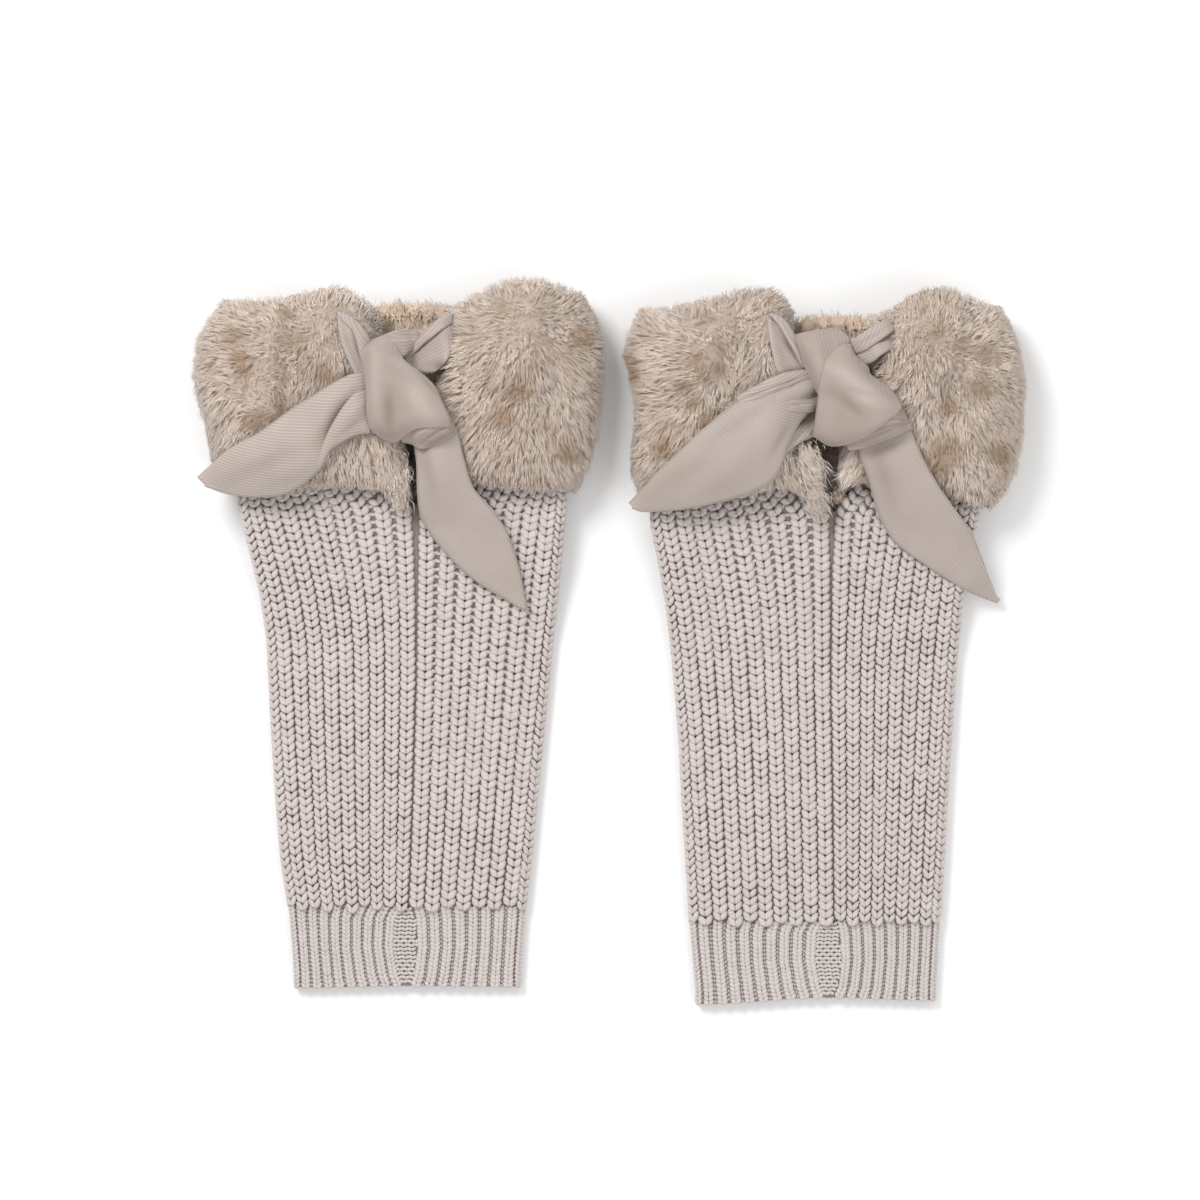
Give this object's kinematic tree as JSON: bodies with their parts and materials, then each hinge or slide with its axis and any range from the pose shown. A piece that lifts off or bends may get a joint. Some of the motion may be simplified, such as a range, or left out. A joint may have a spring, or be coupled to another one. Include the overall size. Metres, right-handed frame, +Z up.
{
  "type": "pair of leg warmers",
  "caption": "Pair of rib-knit leg warmers with ribbed hems, slit faux fur cuffs and tied ribbon bows, laid flat side by side",
  "frame": {"origin": "centre of the pair's base, on the surface that both leg warmers lie on", "axes": "+X across both leg warmers to the right, +Y from the hems towards the fur cuffs, +Z up from the surface towards the viewer; the fronts with the slits and ribbons face +Z"},
  "size_m": [0.4032, 0.3506, 0.0557],
  "materials": {
    "knit": "matte chunky yarn",
    "hem": "matte yarn, finer rib",
    "fur": "plush faux fur pile",
    "ribbon": "soft satin twill"
  },
  "bodies": {
    "root": {"left_hem_rib": "hem", "left_knit_body": "knit", "left_fur_cuff": "fur", "left_ribbon_band_left": "ribbon", "left_ribbon_band_right": "ribbon", "left_ribbon_tail_left": "ribbon", "left_ribbon_tail_right": "ribbon", "left_ribbon_knot": "ribbon", "right_hem_rib": "hem", "right_knit_body": "knit", "right_fur_cuff": "fur", "right_ribbon_band_left": "ribbon", "right_ribbon_band_right": "ribbon", "right_ribbon_tail_left": "ribbon", "right_ribbon_tail_right": "ribbon", "right_ribbon_knot": "ribbon"}
  },
  "joints": []
}
